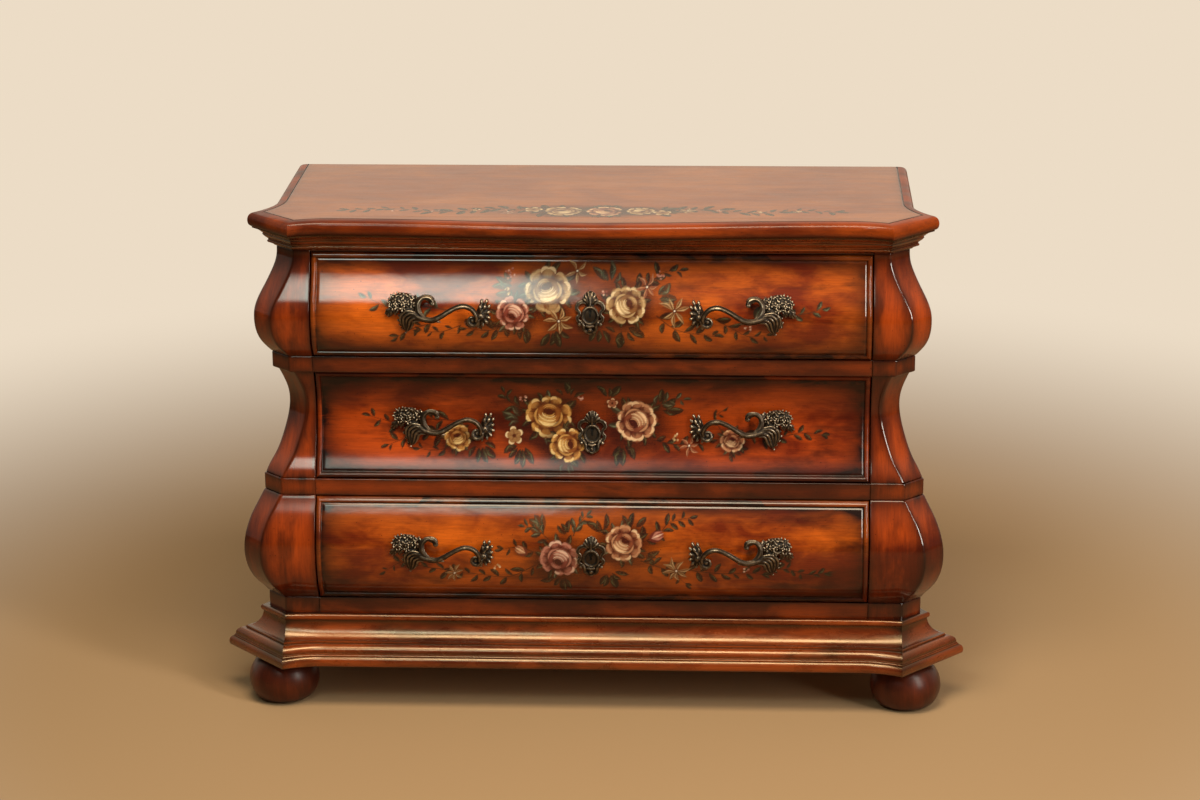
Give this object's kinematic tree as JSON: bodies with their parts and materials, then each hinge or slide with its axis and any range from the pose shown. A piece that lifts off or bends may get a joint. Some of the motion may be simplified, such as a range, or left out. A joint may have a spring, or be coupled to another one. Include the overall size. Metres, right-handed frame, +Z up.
{
  "type": "bombe chest of drawers",
  "caption": "Bombe chest of drawers: swelling case and drawer fronts, canted corner posts, shaped top, flared moulded plinth on bun feet, cast scroll pulls; stores clothes or linen.",
  "frame": {"origin": "on the floor, at the centre of the overall footprint", "axes": "+Z up, the drawer fronts face -Y, +X towards the right of someone facing the front"},
  "size_m": [1.272, 0.48, 0.851],
  "materials": {
    "case_wood": "burnished red-brown veneer under gloss lacquer, darkened at the edges",
    "moulding_wood": "darker red-brown lacquered moulding",
    "drawer_wood": "burnished orange-brown veneer under gloss lacquer, painted sprays",
    "inner_wood": "bare satin secondary wood",
    "antique_bronze": "dark antique bronze casting with worn highlights",
    "bolt_steel": "plain zinc-plated steel"
  },
  "bodies": {
    "case": {"top_panel": "case_wood", "cornice_front": "moulding_wood", "cornice_left": "moulding_wood", "cornice_right": "moulding_wood", "plinth_front": "moulding_wood", "plinth_left": "moulding_wood", "plinth_right": "moulding_wood", "base_board": "inner_wood", "foot_front_left": "moulding_wood", "foot_front_right": "moulding_wood", "foot_back_left": "moulding_wood", "foot_back_right": "moulding_wood", "foot_bolt_front_left": "bolt_steel", "foot_bolt_front_right": "bolt_steel", "foot_bolt_back_left": "bolt_steel", "foot_bolt_back_right": "bolt_steel", "left_front_post": "case_wood", "right_front_post": "case_wood", "left_side_panel": "case_wood", "right_side_panel": "case_wood", "back_panel": "inner_wood", "top_rail": "case_wood", "upper_rail": "case_wood", "lower_rail": "case_wood", "bottom_rail": "case_wood", "bottom_dust_panel": "inner_wood", "lower_dust_panel": "inner_wood", "upper_dust_panel": "inner_wood", "left_top_cleat": "inner_wood", "right_top_cleat": "inner_wood", "upper_left_runner": "inner_wood", "upper_right_runner": "inner_wood", "middle_left_runner": "inner_wood", "middle_right_runner": "inner_wood", "lower_left_runner": "inner_wood", "lower_right_runner": "inner_wood"},
    "upper_drawer": {"upper_drawer_front": "drawer_wood", "upper_drawer_left_side": "inner_wood", "upper_drawer_right_side": "inner_wood", "upper_drawer_bottom": "inner_wood", "upper_drawer_back": "inner_wood", "upper_left_pull": "antique_bronze", "upper_right_pull": "antique_bronze", "upper_escutcheon": "antique_bronze"},
    "middle_drawer": {"middle_drawer_front": "drawer_wood", "middle_drawer_left_side": "inner_wood", "middle_drawer_right_side": "inner_wood", "middle_drawer_bottom": "inner_wood", "middle_drawer_back": "inner_wood", "middle_left_pull": "antique_bronze", "middle_right_pull": "antique_bronze", "middle_escutcheon": "antique_bronze"},
    "lower_drawer": {"lower_drawer_front": "drawer_wood", "lower_drawer_left_side": "inner_wood", "lower_drawer_right_side": "inner_wood", "lower_drawer_bottom": "inner_wood", "lower_drawer_back": "inner_wood", "lower_left_pull": "antique_bronze", "lower_right_pull": "antique_bronze", "lower_escutcheon": "antique_bronze"}
  },
  "joints": [
    {"name": "upper_drawer_slide", "type": "slide", "parent": "case", "child": "upper_drawer", "axis": [0, -1, 0], "range_m": [0, 0.28]},
    {"name": "middle_drawer_slide", "type": "slide", "parent": "case", "child": "middle_drawer", "axis": [0, -1, 0], "range_m": [0, 0.28]},
    {"name": "lower_drawer_slide", "type": "slide", "parent": "case", "child": "lower_drawer", "axis": [0, -1, 0], "range_m": [0, 0.28]}
  ]
}
